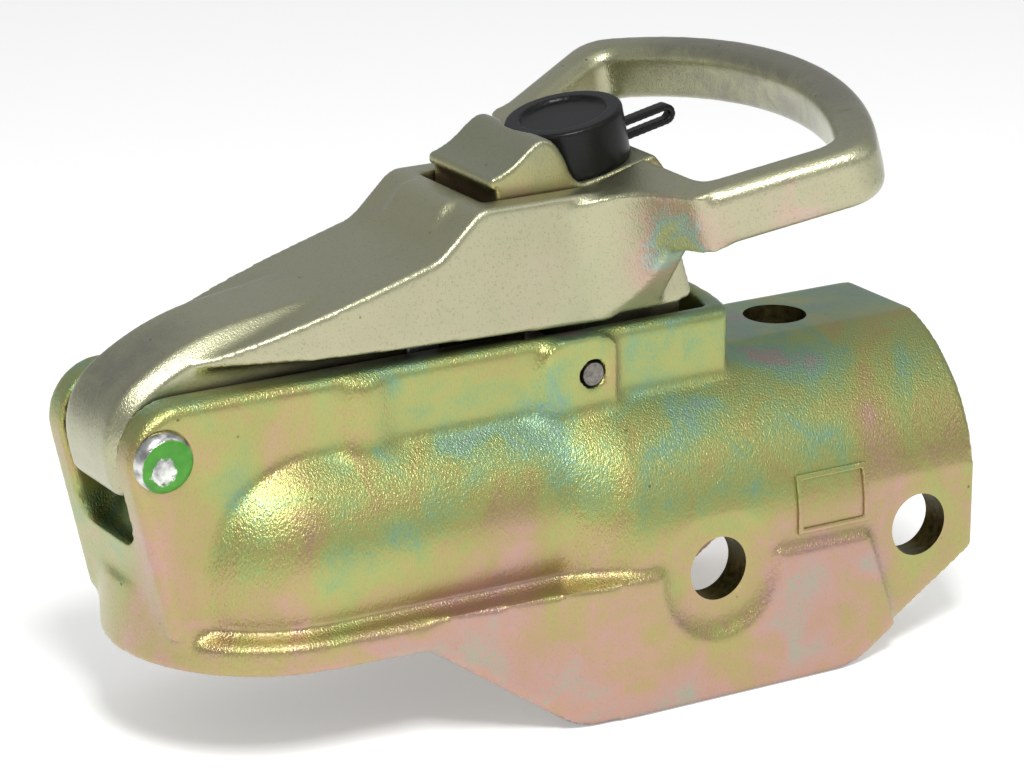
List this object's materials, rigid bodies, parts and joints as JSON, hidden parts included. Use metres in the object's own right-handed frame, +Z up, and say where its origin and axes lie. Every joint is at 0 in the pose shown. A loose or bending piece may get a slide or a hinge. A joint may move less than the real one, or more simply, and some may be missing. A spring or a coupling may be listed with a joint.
{
  "type": "trailer coupling head",
  "caption": "Cast coupling head for a tow ball: ball cup, drawbar channel with bolt holes, lift handle with an oval grip, thumb trigger and key lock under a dust cap.",
  "frame": {"origin": "centre of the ball socket", "axes": "+X along the drawbar, towards the trailer; +Z up; +Y across"},
  "size_m": [0.2023, 0.112, 0.1321],
  "materials": {
    "cast_housing": "cast, zinc plated with a yellow iridescent passivation",
    "cast_handle": "cast, zinc plated, pale silvery olive",
    "rivet_steel": "bright zinc, worn green paint on one head",
    "pin_steel": "plain ground steel",
    "jaw_steel": "hardened, greased",
    "spring_steel": "drawn wire, oiled",
    "lock_brass": "machined",
    "cap_plastic": "moulded, matt black"
  },
  "bodies": {
    "housing": {"housing": "cast_housing", "handle_pivot_pin": "rivet_steel", "catch_pin": "pin_steel", "handle_spring": "spring_steel"},
    "handle": {"handle": "cast_handle", "ball_jaw": "jaw_steel", "jaw_pin": "pin_steel", "trigger_pin": "pin_steel", "trigger_spring": "spring_steel"},
    "trigger": {"trigger": "cast_handle", "lock_body": "lock_brass"},
    "lock_plug": {"lock_plug": "lock_brass", "lock_wafers": "lock_brass", "lock_cam": "pin_steel", "lock_cam_screw": "pin_steel"},
    "dust_cap": {"dust_cap": "cap_plastic"}
  },
  "joints": [
    {"name": "handle_lift", "type": "hinge", "parent": "housing", "child": "handle", "pos_m": [-0.033, 0, 0.0293], "axis": [0, -1, 0], "range_deg": [0, 50], "stiffness_Nm_per_rad": 1.2, "springref_deg": -34.38, "deforming": ["handle_spring"]},
    {"name": "trigger_press", "type": "hinge", "parent": "handle", "child": "trigger", "pos_m": [0.0925, 0, 0.061], "axis": [0, -1, 0], "range_deg": [0, 9], "stiffness_Nm_per_rad": 2, "springref_deg": -14.32, "deforming": ["trigger_spring"]},
    {"name": "lock_turn", "type": "hinge", "parent": "trigger", "child": "lock_plug", "pos_m": [0.0775, 0, 0.07235], "axis": [-0.2079, 0, 0.9781], "range_deg": [0, 90]},
    {"name": "cap_lift", "type": "slide", "parent": "trigger", "child": "dust_cap", "axis": [-0.2079, 0, 0.9781], "range_m": [0, 0.015]}
  ]
}
